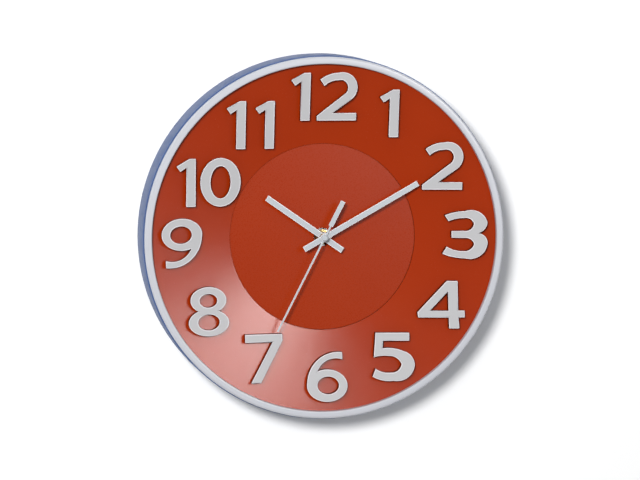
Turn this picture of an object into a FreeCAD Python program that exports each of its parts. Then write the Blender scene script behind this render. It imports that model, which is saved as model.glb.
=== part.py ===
import FreeCAD, Part

import math
import os
import re

import Sketcher
from FreeCAD import Placement, Rotation, Vector

# A round quartz wall clock, 300 mm across its front ring. Every piece is drawn in dial
# coordinates: x to the right and y up as seen from the front, z from the wall to the viewer,
# with the hands' axis at x = y = 0. place() then turns the pieces so that the front faces -Y
# and +Z is up, and puts the top of the hanging slot, on the wall, at the origin.

DOC = FreeCAD.newDocument("wall_clock")
SHEET = DOC.addObject("Spreadsheet::Sheet", "Sizes")
NODES = []
EDGE_SLACK = 0.01
POCKET_SLACK = 0.001

SIZES = {
    # case, front ring and dial
    "case_radius": 152.5,
    "case_front_radius": 151,
    "case_wall": 2,
    "case_height": 40,
    "lip_radius": 138,
    "lip_thick": 2.5,
    "ledge_radius": 144.5,
    "ledge_top": 38,
    "ledge_thick": 2,
    "ring_radius": 150,
    "ring_inner_radius": 144,
    "ring_top": 46,
    "ring_edge_fillet": 1.4,
    "dial_flange_radius": 148.5,
    "dial_outer_radius": 144.3,
    "dial_inner_radius": 78,
    "dial_inner_height": 25.6,
    "dial_wall": 2,
    "dial_ledge_radius": 72,
    "dial_ledge_thick": 1.5,
    "disc_radius": 77.8,
    "disc_back": 23.4,
    "disc_thick": 1.5,
    # numerals
    "numeral_height": 39.5,
    "numeral_rise": 6,
    "numeral_face_thick": 0.4,
    # ring screws
    "ring_screw_count": 6,
    "ring_screw_circle": 146.8,
    "ring_screw_radius": 1.2,
    "ring_screw_hole_radius": 1.3,
    "ring_screw_head_radius": 2,
    "ring_screw_head_thick": 1.8,
    "ring_screw_shank": 8,
    "ring_screw_hole_depth": 4.2,
    "ring_screw_slot_half": 0.3,
    "ring_screw_slot_reach": 1.4,
    "ring_screw_slot_depth": 0.9,
    "ring_screw_turn": 30,
    # hanging keyhole
    "hang_height": 132,
    "keyhole_entry_radius": 4.5,
    "keyhole_slot_radius": 2.2,
    "keyhole_drop": 9,
    "hanger_pad_width": 30,
    "hanger_pad_bottom": 112,
    "hanger_pad_overlap": 4,
    # movement box
    "movement_width": 56,
    "movement_top": 22,
    "movement_bottom": -34,
    "movement_back": 5.9,
    "movement_thick": 16.5,
    "movement_wall": 1.2,
    "movement_corner": 3,
    "bay_divider_y": -15.5,
    "bay_width": 53,
    "battery_y": -24.5,
    "battery_radius": 7.25,
    "battery_length": 49.2,
    "battery_tip_radius": 2.7,
    "battery_tip_length": 1.3,
    "battery_clear": 0.25,
    "battery_base_x": -24.5,
    "contact_face": 26,
    "contact_back": 26.4,
    "contact_plus_half": 5,
    "contact_plus_height": 10,
    "contact_minus_half": 5.5,
    "contact_bend": 1.2,
    "contact_bend_back": 1,
    "contact_tip_half": 0.2,
    "contact_tip_back": -25,
    "contact_width": 6,
    "plate_base": 7.6,
    "plate_thick": 0.6,
    "plate_left": -26.4,
    "plate_right": 26,
    "plate_bottom": -15,
    "plate_top": 13.5,
    "plate_notch_left": 20.5,
    "plate_notch_bottom": -3.5,
    "plate_post_left": -24,
    "plate_post_right": 8,
    "plate_post_top": 12,
    "plate_post_low": -13.5,
    "plate_post_lowest": -13.7,
    # train
    "running_clear": 0.08,
    "pivot_radius": 0.5,
    "wheel_thick": 1,
    "third_distance": 13.6,
    "motion_distance": 10,
    "fine_module": 0.4,
    "seconds_module": 0.55,
    "motion_module": 0.5,
    "rotor_module": 0.35,
    "minute_module": 0.37778,
    # levels inside the movement, from its back
    "step_level": 1.7,
    "step_pinion_level": 2.5,
    "step_pinion_top": 4.2,
    "seconds_level": 3,
    "seconds_pinion_top": 6,
    "third_level": 4.4,
    "third_pinion_top": 7.3,
    "minute_level": 6.4,
    "arbor_base": 6.2,
    "minute_pinion_level": 8.4,
    "minute_pinion_top": 10.2,
    "motion_level": 8.6,
    "motion_pinion_top": 12.8,
    "hour_level": 11,
    "rotor_pinion_level": 1.5,
    "rotor_pinion_top": 2.7,
    "magnet_level": 3.2,
    "magnet_thick": 2.5,
    "magnet_radius": 3,
    "stator_level": 4.3,
    "stator_thick": 1,
    "stator_hole_radius": 3.5,
    "coil_x": 23.2,
    "coil_y": 6.5,
    "coil_level": 5.8,
    "coil_length": 15,
    "coil_radius": 2.7,
    "bobbin_radius": 2.9,
    "bobbin_tube_radius": 1.5,
    "bobbin_cheek": 0.8,
    "core_half_width": 1,
    "core_bottom": -9,
    "core_top": 11,
    "stator_left": 10.8,
    "stator_neck_right": 14,
    "stator_arm_bottom": -11,
    "stator_neck_bottom": -2,
    "stator_right": 26.5,
    "stator_low_arm_top": -1,
    "stator_inner_left": 15,
    "stator_high_arm_bottom": 15,
    "stator_top": 20,
    "board_level": 10.6,
    "board_thick": 0.8,
    "board_left": -26,
    "board_right": -10.5,
    "board_bottom": -13,
    "board_top": 19,
    "chip_left": -21,
    "chip_right": -15,
    "chip_bottom": -5,
    "chip_top": 1,
    "chip_thick": 1.2,
    "crystal_radius": 1,
    "crystal_length": 6,
    "crystal_x": -18,
    "crystal_y": 6,
    "pivot_base": 0.4,
    "pivot_end_gap": 0.1,
    "bore_overrun": 1,
    "cover_level": 15.3,
    "cover_pivot_depth": 0.7,
    "post_radius": 1.2,
    "battery_level": 8,
    # bush, nut and washers
    "bush_radius": 4,
    "bush_flange_radius": 6,
    "bush_flange_thick": 1.2,
    "bush_top": 28.3,
    "nut_radius": 6.3,
    "nut_thick": 2.3,
    "washer_radius": 7.5,
    "washer_thick": 0.5,
    "rubber_radius": 10,
    # hands
    "hour_tube_radius": 2.5,
    "hour_tube_top": 31.4,
    "minute_arbor_radius": 1.7,
    "minute_arbor_top": 35.6,
    "second_arbor_radius": 0.5,
    "second_arbor_top": 37.7,
    "hand_thick": 0.4,
    "hour_hand_length": 58,
    "hour_hand_tail": 19.4,
    "hour_hand_width": 5,
    "hour_hand_height": 30.6,
    "minute_hand_length": 90.5,
    "minute_hand_tail": 19.4,
    "minute_hand_width": 4.7,
    "minute_hand_height": 34.8,
    "second_hand_length": 87,
    "second_hand_width": 1.5,
    "second_hand_height": 37,
    "weight_start": 11,
    "weight_end": 34,
    "weight_width": 3.9,
    "collet_wall": 0.9,
    "collet_rim": 0.5,
    "collet_below": 0.8,
    "collet_length": 1.4,
    "second_tube_wall": 0.6,
    "second_tube_below": 0.5,
    "second_tube_length": 1.3,
    "cap_shoulder": 0.6,
    "cap_crown_radius": 1.798,
    "cap_hollow": 0.5,
    "cap_radius": 2.9,
    "cap_thick": 1.5,
    # setting knob
    "knob_radius": 7,
    "knob_thick": 2.6,
    "knob_gap": 0.2,
    "knob_grip_count": 24,
    "knob_grip_radius": 0.45,
}

# Clock angles of the hands as stored, in degrees clockwise from twelve: about ten past ten.
HOUR_HAND_ANGLE = 305
MINUTE_HAND_ANGLE = 60.5
SECOND_HAND_ANGLE = 207

# Teeth of the train. The rotor steps half a turn a second.
ROTOR_TEETH = 8
STEP_TEETH = 48
STEP_PINION_TEETH = 8
SECONDS_TEETH = 40
SECONDS_PINION_TEETH = 8
THIRD_TEETH = 60
THIRD_PINION_TEETH = 8
MINUTE_TEETH = 64
MINUTE_PINION_TEETH = 10
MOTION_TEETH = 30
MOTION_PINION_TEETH = 10
HOUR_TEETH = 40
KNOB_TEETH = 12


def fill_sheet():
    """Write each size in its own cell, with its name as the alias."""
    for row, (name, value) in enumerate(SIZES.items(), start=1):
        SHEET.set("A%d" % row, name)
        SHEET.set("B%d" % row, str(value))
        SHEET.setAlias("B%d" % row, name)
    DOC.recompute()


def size(name):
    """The sheet's value of one size, as a plain number."""
    return float(getattr(SHEET, name))


def formula(text):
    """Write a formula's size names as references to the sheet."""
    return re.sub("[a-z_]+", lambda word: "Sizes." + word[0] if word[0] in SIZES else word[0], text)


def number(text):
    """The present value of a formula."""
    return float(SHEET.evalExpression(formula(text)))


def place(thing, x=0, y=0, z=0, turn=0):
    """Stand a piece that is drawn in dial coordinates in the clock, turned about its own z."""
    spot = Vector(x, -z, y - size("hang_height"))
    thing.Placement = Placement(spot, Rotation(Vector(1, 0, 0), 90).multiply(
        Rotation(Vector(0, 0, 1), turn)))


def keep(thing, label, **where):
    """Name a finished piece, place it and list it for writing."""
    thing.Label = label
    place(thing, **where)
    NODES.append(thing)
    return thing


def new_body(label):
    """A body to build one piece in."""
    return DOC.addObject("PartDesign::Body", label + "_body")


def new_sketch(body, role="XY_Plane", lift="0"):
    """A sketch on one of the body's own planes, lifted along its normal."""
    sketch = body.newObject("Sketcher::SketchObject", body.Name + "_sketch")
    plane = [feature for feature in body.Origin.OriginFeatures if feature.Role == role][0]
    sketch.AttachmentSupport = [(plane, "")]
    sketch.MapMode = "FlatFace"
    sketch.setExpression("AttachmentOffset.Base.z", formula(lift))
    return sketch


def bind(sketch, index, text):
    """Tie a sketch constraint to a formula of sheet sizes."""
    sketch.setExpression("Constraints[%d]" % index, formula(text))


def add_polygon(sketch, corners):
    """Draw a closed polygon whose corners are pairs of formulas, each one dimensioned."""
    points = [Vector(number(x), number(y), 0) for x, y in corners]
    first = sketch.GeometryCount
    for index, point in enumerate(points):
        sketch.addGeometry(Part.LineSegment(point, points[(index + 1) % len(points)]), False)
    for index, (x, y) in enumerate(corners):
        line = first + index
        after = first + (index + 1) % len(points)
        sketch.addConstraint(Sketcher.Constraint("Coincident", line, 2, after, 1))
        for kind, text in (("DistanceX", x), ("DistanceY", y)):
            spot = sketch.addConstraint(Sketcher.Constraint(kind, -1, 1, line, 1, number(text)))
            bind(sketch, spot, text)


def add_circle(sketch, radius, x="0", y="0"):
    """Draw a circle whose radius and centre are formulas."""
    middle = Vector(number(x), number(y), 0)
    circle = sketch.addGeometry(Part.Circle(middle, Vector(0, 0, 1), number(radius)), False)
    for kind, text in (("DistanceX", x), ("DistanceY", y)):
        spot = sketch.addConstraint(Sketcher.Constraint(kind, -1, 1, circle, 3, number(text)))
        bind(sketch, spot, text)
    spot = sketch.addConstraint(Sketcher.Constraint("Radius", circle, number(radius)))
    bind(sketch, spot, radius)


def pad(body, sketch, height):
    """Raise a sketch towards the viewer."""
    feature = body.newObject("PartDesign::Pad", body.Name + "_pad")
    feature.Profile = sketch
    feature.setExpression("Length", formula(height))
    return feature


def pocket(body, sketch, depth):
    """Cut a sketch into the body, from its plane towards the viewer."""
    feature = body.newObject("PartDesign::Pocket", body.Name + "_pocket")
    feature.Profile = sketch
    feature.Reversed = True
    feature.setExpression("Length", formula(depth))
    return feature


def spin(body, corners, role="XZ_Plane", axis="V_Axis"):
    """Turn a profile of formulas about a sketch axis: (radius, height) about z by default."""
    sketch = new_sketch(body, role)
    add_polygon(sketch, corners)
    feature = body.newObject("PartDesign::Revolution", body.Name + "_turned")
    feature.Profile = sketch
    feature.ReferenceAxis = (sketch, [axis])
    feature.Angle = 360
    return feature


def tube(body, outer, inner, base, height):
    """Raise a ring, or a disc where inner is None, from a base height."""
    sketch = new_sketch(body, lift=base)
    add_circle(sketch, outer)
    if inner is not None:
        add_circle(sketch, inner)
    return pad(body, sketch, height)


def block(body, left, right, bottom, top, base, height):
    """Raise a rectangle from a base height."""
    sketch = new_sketch(body, lift=base)
    add_polygon(sketch, [(left, bottom), (right, bottom), (right, top), (left, top)])
    return pad(body, sketch, height)


def drill(body, radius, base, depth, spots=(("0", "0"),)):
    """Cut round holes towards the viewer from a base height."""
    sketch = new_sketch(body, lift=base)
    for x, y in spots:
        add_circle(sketch, radius, x, y)
    return pocket(body, sketch, depth)


def round_edges(body, radius, misfit):
    """Round every edge so far whose box misfits by nothing."""
    DOC.recompute()
    base = body.Tip
    edges = [
        "Edge%d" % index
        for index, edge in enumerate(base.Shape.Edges, start=1)
        if misfit(edge.BoundBox) < EDGE_SLACK
    ]
    fillet = body.newObject("PartDesign::Fillet", body.Name + "_rounding")
    fillet.Base = (base, edges)
    fillet.setExpression("Radius", formula(radius))


def turned_piece(label, corners, **where):
    """A whole piece made by turning one profile."""
    body = new_body(label)
    spin(body, corners)
    return keep(body, label, **where)


def ring_spots(count, radius, first=0):
    """Formulas for points spaced evenly on a circle, from a first angle in degrees."""
    spots = []
    for index in range(count):
        angle = first + 360 * index / count
        spots.append(("%s * cos(%g deg)" % (radius, angle), "%s * sin(%g deg)" % (radius, angle)))
    return spots


# ---------------------------------------------------------------- case, ring, dial


def make_case():
    """Drum with a rear lip, a ledge for the dial and a keyholed hanging pad at the top."""
    body = new_body("case")
    inner_front = "case_front_radius - case_wall"
    inner_back = "case_radius - case_wall"
    ledge_bottom = "ledge_top - ledge_thick"
    spin(body, [
        ("lip_radius", "0"),
        ("case_radius", "0"),
        ("case_front_radius", "case_height"),
        (inner_front, "case_height"),
        (inner_front, "ledge_top"),
        ("ledge_radius", "ledge_top"),
        ("ledge_radius", ledge_bottom),
        (inner_front, ledge_bottom),
        (inner_back, "lip_thick"),
        ("lip_radius", "lip_thick"),
    ])
    half = "hanger_pad_width / 2"
    block(body, "-" + half, half, "hanger_pad_bottom", "lip_radius + hanger_pad_overlap", "0", "lip_thick")
    drill(body, "keyhole_entry_radius", "0", "lip_thick", [("0", "hang_height - keyhole_drop")])
    slot = new_sketch(body)
    slot_half = "keyhole_slot_radius"
    add_polygon(slot, [
        ("-" + slot_half, "hang_height - keyhole_drop"),
        (slot_half, "hang_height - keyhole_drop"),
        (slot_half, "hang_height"),
        ("-" + slot_half, "hang_height"),
    ])
    pocket(body, slot, "lip_thick")
    drill(body, slot_half, "0", "lip_thick", [("0", "hang_height")])
    spots = ring_spots(int(size("ring_screw_count")), "ring_screw_circle", size("ring_screw_turn"))
    drill(body, "ring_screw_hole_radius", ledge_bottom, "ledge_thick", spots)
    keep(body, "case")


def make_front_ring():
    """Bezel ring with softened front edges and blind holes for its screws."""
    body = new_body("front_ring")
    tube(body, "ring_radius", "ring_inner_radius", "case_height", "ring_top - case_height")
    spots = ring_spots(int(size("ring_screw_count")), "ring_screw_circle", size("ring_screw_turn"))
    drill(body, "ring_screw_hole_radius", "case_height", "ring_screw_hole_depth", spots)
    top = size("ring_top")
    round_edges(body, "ring_edge_fillet", lambda box: abs(box.ZMin - top) + abs(box.ZMax - top))
    keep(body, "front_ring")


def make_ring_screws():
    """Pan-head screws that reach from behind the ledge, through the dial, into the ring."""
    head_base = "ledge_top - ledge_thick - ring_screw_head_thick"
    screws = []
    for index in range(int(size("ring_screw_count"))):
        body = new_body("ring_screw_%d" % index)
        tube(body, "ring_screw_head_radius", None, head_base, "ring_screw_head_thick")
        tube(body, "ring_screw_radius", None, "ledge_top - ledge_thick", "ring_screw_shank")
        recess = new_sketch(body, lift=head_base)
        add_polygon(recess, [
            ("-ring_screw_slot_reach", "-ring_screw_slot_half"),
            ("ring_screw_slot_reach", "-ring_screw_slot_half"),
            ("ring_screw_slot_reach", "ring_screw_slot_half"),
            ("-ring_screw_slot_reach", "ring_screw_slot_half"),
        ])
        pocket(body, recess, "ring_screw_slot_depth")
        angle = math.radians(size("ring_screw_turn") + 360 * index / size("ring_screw_count"))
        reach = size("ring_screw_circle")
        body.Placement = Placement(
            Vector(reach * math.cos(angle), reach * math.sin(angle), 0), Rotation())
        screws.append(body)
    DOC.recompute()
    group = DOC.addObject("Part::Compound", "ring_screws")
    group.Links = screws
    keep(group, "ring_screws")


def make_dial_disc():
    """Flat disc in the middle of the dial, with a hole for the bush."""
    turned_piece("dial_disc", [
        ("bush_radius + running_clear", "disc_back"),
        ("disc_radius", "disc_back"),
        ("disc_radius", "disc_back + disc_thick"),
        ("bush_radius + running_clear", "disc_back + disc_thick"),
    ])


# ---------------------------------------------------------------- numerals

# Each outline starts at a point and goes on by lines, given as one point, and by arcs, given
# as a point on the arc and its end. One unit is the numeral's height; y is up.
ONE = [(0.19, 0), [(0.19, 0.82)], [(0.06, 0.735)], [(-0.02, 0.845)], [(0.25, 1)], [(0.385, 1)],
       [(0.385, 0)]]
TWO = [(0, 0), [(0.829, 0)], [(0.829, 0.158)], [(0.33, 0.158)], [(0.7, 0.43)],
       [(0.838, 0.71), (0.434, 1)], [(0.235, 0.965), (0.053, 0.86)], [(0.143, 0.725)],
       [(0.275, 0.815), (0.43, 0.845)], [(0.635, 0.735), (0.555, 0.54)], [(0, 0.1)]]
THREE = [(0.045, 0.91), [(0.24, 0.975), (0.463, 1)], [(0.78, 0.97), (0.925, 0.776)],
         [(0.88, 0.63), (0.735, 0.535)], [(0.885, 0.46), (0.93, 0.3)],
         [(0.8, 0.07), (0.463, 0)], [(0.22, 0.025), (0, 0.095)], [(0.09, 0.245)],
         [(0.25, 0.175), (0.42, 0.155)], [(0.59, 0.2), (0.655, 0.3)],
         [(0.6, 0.39), (0.45, 0.43)], [(0.188, 0.435)], [(0.188, 0.575)], [(0.45, 0.582)],
         [(0.6, 0.63), (0.65, 0.74)], [(0.59, 0.82), (0.433, 0.855)],
         [(0.27, 0.835), (0.125, 0.785)]]
FOUR = [(0.65, 0), [(0.862, 0)], [(0.85, 0.232)], [(0.977, 0.232)], [(0.977, 0.378)],
        [(0.845, 0.378)], [(0.839, 1)], [(0.617, 1)], [(0, 0.34)], [(0.008, 0.228)],
        [(0.65, 0.228)]]
FOUR_COUNTER = [(0.645, 0.37), [(0.64, 0.78)], [(0.255, 0.37)]]
FIVE = [(0.089, 1), [(0.797, 1)], [(0.797, 0.832)], [(0.243, 0.832)], [(0.23, 0.675)],
        [(0.46, 0.675), (0.68, 0.61)], [(0.85, 0.49), (0.897, 0.335)],
        [(0.775, 0.09), (0.44, 0)], [(0.2, 0.01), (0, 0.089)], [(0.068, 0.252)],
        [(0.225, 0.18), (0.39, 0.17)], [(0.55, 0.22), (0.62, 0.345)],
        [(0.53, 0.465), (0.36, 0.515)], [(0.2, 0.52), (0.04, 0.49)]]
SEVEN = [(0.111, 0), [(0.318, 0)], [(0.796, 0.862)], [(0.796, 1)], [(0, 1)], [(0, 0.836)],
         [(0.59, 0.836)]]
# The six's tail ends short on the right; the nine is the six turned half round.
SIX_TAIL = [(0.77, 1.01), [(0.3, 0.9), (0.02, 0.48)], [(0.01, 0.41), (0.01, 0.34)],
            [(0.206, 0.53)], [(0.36, 0.79), (0.77, 0.86)]]

# Ellipses: centre x, centre y, half width, half height.
SIX_BOWL = (0.432, 0.324, 0.43, 0.334)
SIX_COUNTER = (0.452, 0.33, 0.23, 0.182)
ZERO_RING = (0.432, 0.5, 0.43, 0.51)
ZERO_COUNTER = (0.432, 0.5, 0.215, 0.34)
EIGHT_HEAD = (0.425, 0.735, 0.382, 0.275)
EIGHT_HEAD_COUNTER = (0.425, 0.725, 0.19, 0.142)
EIGHT_FOOT = (0.43, 0.268, 0.43, 0.278)
EIGHT_FOOT_COUNTER = (0.43, 0.277, 0.23, 0.165)

# Each numeral's hour: its digits, the gap between them and the middle of the pair.
NUMERALS = {
    1: ("1", 0, 53.5, 103),
    2: ("2", 0, 99, 59),
    3: ("3", 0, 118, 1.5),
    4: ("4", 0, 98, -57),
    5: ("5", 0, 57.5, -100),
    6: ("6", 0, 1.5, -116),
    7: ("7", 0, -51, -99.5),
    8: ("8", 0, -97, -59.5),
    9: ("9", 0, -119, -2.5),
    10: ("10", 4, -96.5, 47),
    11: ("11", 8, -62, 94),
    12: ("12", 6, -1, 117),
}


def outline_face(outline):
    """A flat face from an outline of lines and arcs."""
    here = Vector(*outline[0])
    edges = []
    for step in outline[1:] + [[outline[0]]]:
        points = [Vector(*point) for point in step]
        if len(points) == 1:
            edges.append(Part.LineSegment(here, points[0]).toShape())
        else:
            edges.append(Part.Arc(here, points[0], points[1]).toShape())
        here = points[-1]
    return Part.Face(Part.Wire(edges))


def oval_face(x, y, half_width, half_height):
    """A flat elliptical face."""
    middle = Vector(x, y, 0)
    if half_width >= half_height:
        curve = Part.Ellipse(middle + Vector(half_width, 0, 0), middle + Vector(0, half_height, 0),
                             middle)
    else:
        curve = Part.Ellipse(middle + Vector(0, half_height, 0), middle - Vector(half_width, 0, 0),
                             middle)
    return Part.Face(Part.Wire([curve.toShape()]))


def six_face():
    """Bowl with a counter and a curved tail."""
    bowl = oval_face(*SIX_BOWL).fuse(outline_face(SIX_TAIL)).removeSplitter()
    return bowl.cut(oval_face(*SIX_COUNTER))


def nine_face():
    """The six turned half round about its middle."""
    face = six_face()
    face.rotate(Vector(SIX_BOWL[0], 0.5, 0), Vector(0, 0, 1), 180)
    return face


def eight_face():
    """Two joined ovals, each with a counter."""
    face = oval_face(*EIGHT_HEAD).fuse(oval_face(*EIGHT_FOOT)).removeSplitter()
    return face.cut(oval_face(*EIGHT_HEAD_COUNTER)).cut(oval_face(*EIGHT_FOOT_COUNTER))


DIGITS = {
    "0": lambda: oval_face(*ZERO_RING).cut(oval_face(*ZERO_COUNTER)),
    "1": lambda: outline_face(ONE),
    "2": lambda: outline_face(TWO),
    "3": lambda: outline_face(THREE),
    "4": lambda: outline_face(FOUR).cut(outline_face(FOUR_COUNTER)),
    "5": lambda: outline_face(FIVE),
    "6": six_face,
    "7": lambda: outline_face(SEVEN),
    "8": eight_face,
    "9": nine_face,
}


def numeral_blank(hour):
    """The hour's digits as prisms that run through the dial, where the numeral belongs."""
    digits, gap, x, y = NUMERALS[hour]
    faces = []
    width = -gap
    for digit in digits:
        face = DIGITS[digit]()
        face.scale(size("numeral_height"))
        faces.append((face, width + gap - face.BoundBox.XMin))
        width += gap + face.BoundBox.XLength
    low = size("disc_back")
    solids = []
    for face, left in faces:
        face.translate(Vector(x - width / 2 + left, y - size("numeral_height") / 2, low))
        solids.append(face.extrude(Vector(0, 0, size("ring_top") - low)))
    blank = DOC.addObject("Part::Feature", "numeral_%d_blank" % hour)
    blank.Shape = Part.makeCompound(solids)
    return blank


def cone_layer(label, below, above):
    """A layer parallel to the dial's cone, between two heights over its front."""
    body = new_body(label)
    spin(body, [
        ("dial_inner_radius", "dial_inner_height + " + below),
        ("dial_outer_radius", "case_height + " + below),
        ("dial_outer_radius", "case_height + " + above),
        ("dial_inner_radius", "dial_inner_height + " + above),
    ])
    return body


def common(label, base, tool):
    """What two solids share."""
    shared = DOC.addObject("Part::Common", label)
    shared.Base = base
    shared.Tool = tool
    return shared


def make_dial():
    """Shallow red cone with a ledge for the disc, the numeral bosses and their silver faces."""
    dish = new_body("dial_dish")
    cone_back = "dial_inner_height - dial_wall"
    ledge_base = "disc_back - dial_ledge_thick"
    spin(dish, [
        ("dial_inner_radius", "dial_inner_height"),
        ("dial_inner_radius", "disc_back"),
        ("dial_ledge_radius", "disc_back"),
        ("dial_ledge_radius", ledge_base),
        ("dial_inner_radius + dial_wall", ledge_base),
        ("dial_inner_radius + dial_wall", cone_back),
        ("dial_outer_radius", "ledge_top"),
        ("dial_flange_radius", "ledge_top"),
        ("dial_flange_radius", "case_height"),
        ("dial_outer_radius", "case_height"),
    ])
    spots = ring_spots(int(size("ring_screw_count")), "ring_screw_circle", size("ring_screw_turn"))
    drill(dish, "ring_screw_hole_radius", "ledge_top", "dial_wall", spots)
    boss_layer = cone_layer("boss_layer", "-dial_wall / 2", "numeral_rise - numeral_face_thick")
    face_layer = cone_layer("face_layer", "numeral_rise - numeral_face_thick", "numeral_rise")
    bosses = []
    for hour in NUMERALS:
        blank = numeral_blank(hour)
        bosses.append(common("numeral_%d_boss" % hour, blank, boss_layer))
        keep(common("numeral_%d" % hour, blank, face_layer), "numeral_%d" % hour)
    dial = DOC.addObject("Part::MultiFuse", "dial")
    dial.Shapes = [dish] + bosses
    keep(dial, "dial")


# ---------------------------------------------------------------- train

CENTRE = Vector(0, 0, 0)
THIRD_DIRECTION = 180
STEP_DIRECTION = -20
ROTOR_DIRECTION = -10
MOTION_DIRECTION = 40
KNOB_DIRECTION = 20

# Tooth shape: heights in modules, thicknesses as shares of the space for one tooth and gap.
ADDENDUM = 0.85
DEDENDUM = 1.15
ROOT_SHARE = 0.52
PITCH_SHARE = 0.42
TIP_SHARE = 0.16


def away(start, direction, distance):
    """The point at a distance from another, in a direction in degrees."""
    angle = math.radians(direction)
    return start + Vector(distance * math.cos(angle), distance * math.sin(angle), 0)


def mesh_turn(teeth, turn, other_teeth, direction):
    """The turn that puts another gear's gap on a gear's tooth, in degrees."""
    ahead = (turn - direction) * teeth / 360
    return direction + 180 + (0.5 - ahead) * 360 / other_teeth


def gear(body, teeth, module, base, height, turn):
    """Raise a toothed disc; its outline follows from the tooth count and the module."""
    pitch_radius = size(module) * teeth / 2
    ring = (
        (pitch_radius - DEDENDUM * size(module), ROOT_SHARE),
        (pitch_radius, PITCH_SHARE),
        (pitch_radius + ADDENDUM * size(module), TIP_SHARE),
    )
    points = []
    for tooth in range(teeth):
        middle = math.radians(turn) + 2 * math.pi * tooth / teeth
        flank = [(radius, -share) for radius, share in ring]
        flank += [(radius, share) for radius, share in reversed(ring)]
        for radius, share in flank:
            angle = middle + share * math.pi / teeth
            points.append(Vector(radius * math.cos(angle), radius * math.sin(angle), 0))
    sketch = new_sketch(body, lift="movement_back + " + base)
    for index, point in enumerate(points):
        sketch.addGeometry(Part.LineSegment(point, points[(index + 1) % len(points)]), False)
    return pad(body, sketch, height)


def arbor(body, radius, base, top):
    """A round shaft between two levels of the movement."""
    return tube(body, radius, None, "movement_back + " + base, "( %s ) - ( %s )" % (top, base))


STEP_SPOT = away(CENTRE, STEP_DIRECTION, (SECONDS_TEETH + STEP_PINION_TEETH) / 2 * SIZES["seconds_module"])
ROTOR_SPOT = away(STEP_SPOT, ROTOR_DIRECTION, (STEP_TEETH + ROTOR_TEETH) / 2 * SIZES["rotor_module"])
THIRD_SPOT = away(CENTRE, THIRD_DIRECTION, SIZES["third_distance"])
MOTION_SPOT = away(CENTRE, MOTION_DIRECTION, SIZES["motion_distance"])
KNOB_SPOT = away(MOTION_SPOT, KNOB_DIRECTION,
                 (MOTION_TEETH + KNOB_TEETH) / 2 * SIZES["motion_module"])
MOTION_TURN = mesh_turn(MINUTE_PINION_TEETH, 0, MOTION_TEETH, MOTION_DIRECTION)


def make_rotor():
    """Stepping rotor: a pinion on its arbor and a round magnet."""
    body = new_body("rotor_pinion")
    turn = mesh_turn(STEP_TEETH, 0, ROTOR_TEETH, ROTOR_DIRECTION)
    arbor(body, "pivot_radius", "pivot_base", "plate_base + plate_thick")
    gear(body, ROTOR_TEETH, "rotor_module", "rotor_pinion_level",
         "rotor_pinion_top - rotor_pinion_level", turn)
    keep(body, "rotor_pinion", x=ROTOR_SPOT.x, y=ROTOR_SPOT.y)
    magnet = new_body("rotor_magnet")
    tube(magnet, "magnet_radius", "pivot_radius", "movement_back + magnet_level", "magnet_thick")
    keep(magnet, "rotor_magnet", x=ROTOR_SPOT.x, y=ROTOR_SPOT.y)


def make_step_wheel():
    """Wheel driven by the rotor, whose pinion drives the seconds wheel."""
    body = new_body("step_wheel")
    turn = mesh_turn(SECONDS_TEETH, 0, STEP_PINION_TEETH, STEP_DIRECTION)
    arbor(body, "pivot_radius", "pivot_base", "plate_base + plate_thick")
    gear(body, STEP_TEETH, "rotor_module", "step_level", "step_pinion_level - step_level", 0)
    gear(body, STEP_PINION_TEETH, "seconds_module", "step_pinion_level",
         "step_pinion_top - step_pinion_level", turn)
    keep(body, "step_wheel", x=STEP_SPOT.x, y=STEP_SPOT.y)


def make_seconds_wheel():
    """Seconds wheel and pinion on the thin steel arbor that carries the second hand."""
    body = new_body("seconds_wheel")
    gear(body, SECONDS_TEETH, "seconds_module", "seconds_level", "wheel_thick", 0)
    gear(body, SECONDS_PINION_TEETH, "fine_module", "seconds_level + wheel_thick",
         "seconds_pinion_top - seconds_level - wheel_thick", 0)
    drill(body, "pivot_radius", "movement_back", "seconds_pinion_top + bore_overrun")
    keep(body, "seconds_wheel")
    rod = new_body("seconds_arbor")
    arbor(rod, "second_arbor_radius", "pivot_base", "second_arbor_top - movement_back")
    keep(rod, "seconds_arbor")


def make_third_wheel():
    """Wheel and pinion between the seconds pinion and the minute wheel."""
    body = new_body("third_wheel")
    turn = mesh_turn(SECONDS_PINION_TEETH, 0, THIRD_TEETH, THIRD_DIRECTION)
    arbor(body, "pivot_radius", "pivot_base", "plate_base + plate_thick")
    gear(body, THIRD_TEETH, "fine_module", "third_level", "wheel_thick", turn)
    gear(body, THIRD_PINION_TEETH, "minute_module", "third_level + wheel_thick",
         "third_pinion_top - third_level - wheel_thick", 0)
    keep(body, "third_wheel", x=THIRD_SPOT.x, y=THIRD_SPOT.y)


def make_minute_wheel():
    """Toothed disc that grips the minute arbor by friction and lets the knob slip it."""
    body = new_body("minute_wheel")
    turn = mesh_turn(THIRD_PINION_TEETH, 0, MINUTE_TEETH, THIRD_DIRECTION + 180)
    gear(body, MINUTE_TEETH, "minute_module", "minute_level", "wheel_thick", turn)
    drill(body, "minute_arbor_radius + running_clear", "movement_back",
          "minute_level + wheel_thick + bore_overrun")
    keep(body, "minute_wheel")


def make_minute_arbor():
    """Hollow arbor of the minute hand, with the pinion of the motion work."""
    body = new_body("minute_arbor")
    arbor(body, "minute_arbor_radius", "arbor_base", "minute_arbor_top - movement_back")
    gear(body, MINUTE_PINION_TEETH, "motion_module", "minute_pinion_level",
         "minute_pinion_top - minute_pinion_level", 0)
    drill(body, "second_arbor_radius + running_clear", "movement_back", "minute_arbor_top")
    keep(body, "minute_arbor")


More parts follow.
